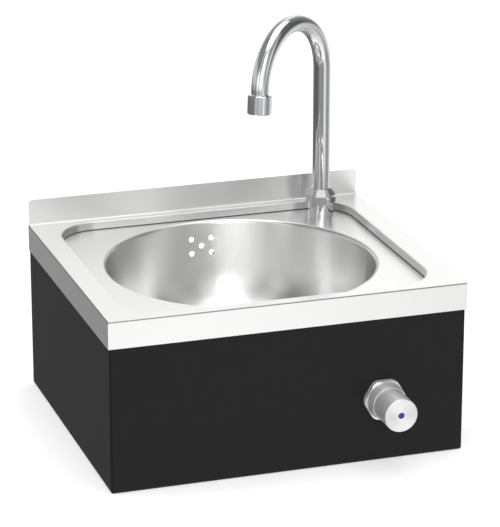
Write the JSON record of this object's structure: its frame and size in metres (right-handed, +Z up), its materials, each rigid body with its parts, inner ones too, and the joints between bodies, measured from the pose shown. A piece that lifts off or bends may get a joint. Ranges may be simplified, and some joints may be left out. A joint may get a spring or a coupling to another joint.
{
  "type": "hand wash sink",
  "caption": "Wall-hung stainless hand wash sink: round pressed bowl in a tray, black skirt, swivelling gooseneck spout and self-closing push-button valve.",
  "frame": {"origin": "midway between the two upper wall slots, on the wall face", "axes": "+X to the right as the user faces the sink, +Y into the wall, +Z up"},
  "size_m": [0.4, 0.394, 0.436],
  "materials": {
    "stainless_satin": "fine satin brush",
    "black_powder_coat": "smooth satin powder coat",
    "galvanised_steel": "zinc plated",
    "polished_chrome": "mirror polished plating",
    "satin_chrome": "satin plating, turned face",
    "brass": "machined",
    "stainless_bright": "turned and drawn",
    "blue_plastic": "moulded, glossy",
    "white_plastic": "injection moulded",
    "grey_hose": "extruded, soft",
    "braided_hose": "steel braid over rubber",
    "black_rubber": "moulded",
    "red_fibre": "pressed fibre"
  },
  "bodies": {
    "sink": {"top_frame": "stainless_satin", "bowl": "stainless_satin", "waste_strainer": "stainless_satin", "waste_screw": "stainless_satin", "skirt": "black_powder_coat", "rear_rail": "galvanised_steel", "rail_nuts": "galvanised_steel", "pillar_lock_nut": "galvanised_steel", "pillar_washer": "galvanised_steel", "overflow_clip_upper": "galvanised_steel", "overflow_clip_lower": "galvanised_steel", "union_nut": "polished_chrome", "pillar": "polished_chrome", "collar_nut": "polished_chrome", "valve_body": "brass", "inlet_nipple": "brass", "hose_nut_valve": "brass", "hose_nut_tap": "brass", "hose_ferrule_valve": "brass", "hose_ferrule_tap": "brass", "return_spring": "stainless_bright", "overflow_collector": "white_plastic", "waste_body": "white_plastic", "slip_washer": "white_plastic", "inlet_filter": "white_plastic", "overflow_hose": "grey_hose", "feed_hose": "braided_hose", "deck_seal": "black_rubber", "overflow_gasket": "black_rubber", "waste_upper_seal": "black_rubber", "waste_lower_gasket": "black_rubber", "pillar_seal": "black_rubber", "stem_seal": "black_rubber", "valve_washer": "black_rubber", "hose_seal_valve": "black_rubber", "hose_seal_tap": "black_rubber", "inlet_seal": "red_fibre"},
    "spout": {"spout_tube": "polished_chrome", "spout_ferrule": "brass", "spout_o_ring": "black_rubber", "aerator_housing": "polished_chrome", "aerator_washer": "black_rubber", "aerator_insert": "white_plastic"},
    "button": {"push_button": "satin_chrome", "button_index": "blue_plastic", "cap_screw": "stainless_bright", "valve_stem": "stainless_bright", "timing_cup": "black_rubber", "valve_disc": "black_rubber"}
  },
  "joints": [
    {"name": "spout_swivel", "type": "hinge", "parent": "sink", "child": "spout", "pos_m": [0.14, -0.0415, 0.06], "axis": [0, 0, 1], "range_deg": [-50, 150]},
    {"name": "button_push", "type": "slide", "parent": "sink", "child": "button", "axis": [0, 1, 0], "range_m": [0, 0.006], "stiffness_N_per_m": 1500, "springref_m": -0.004, "deforming": ["return_spring"]}
  ]
}
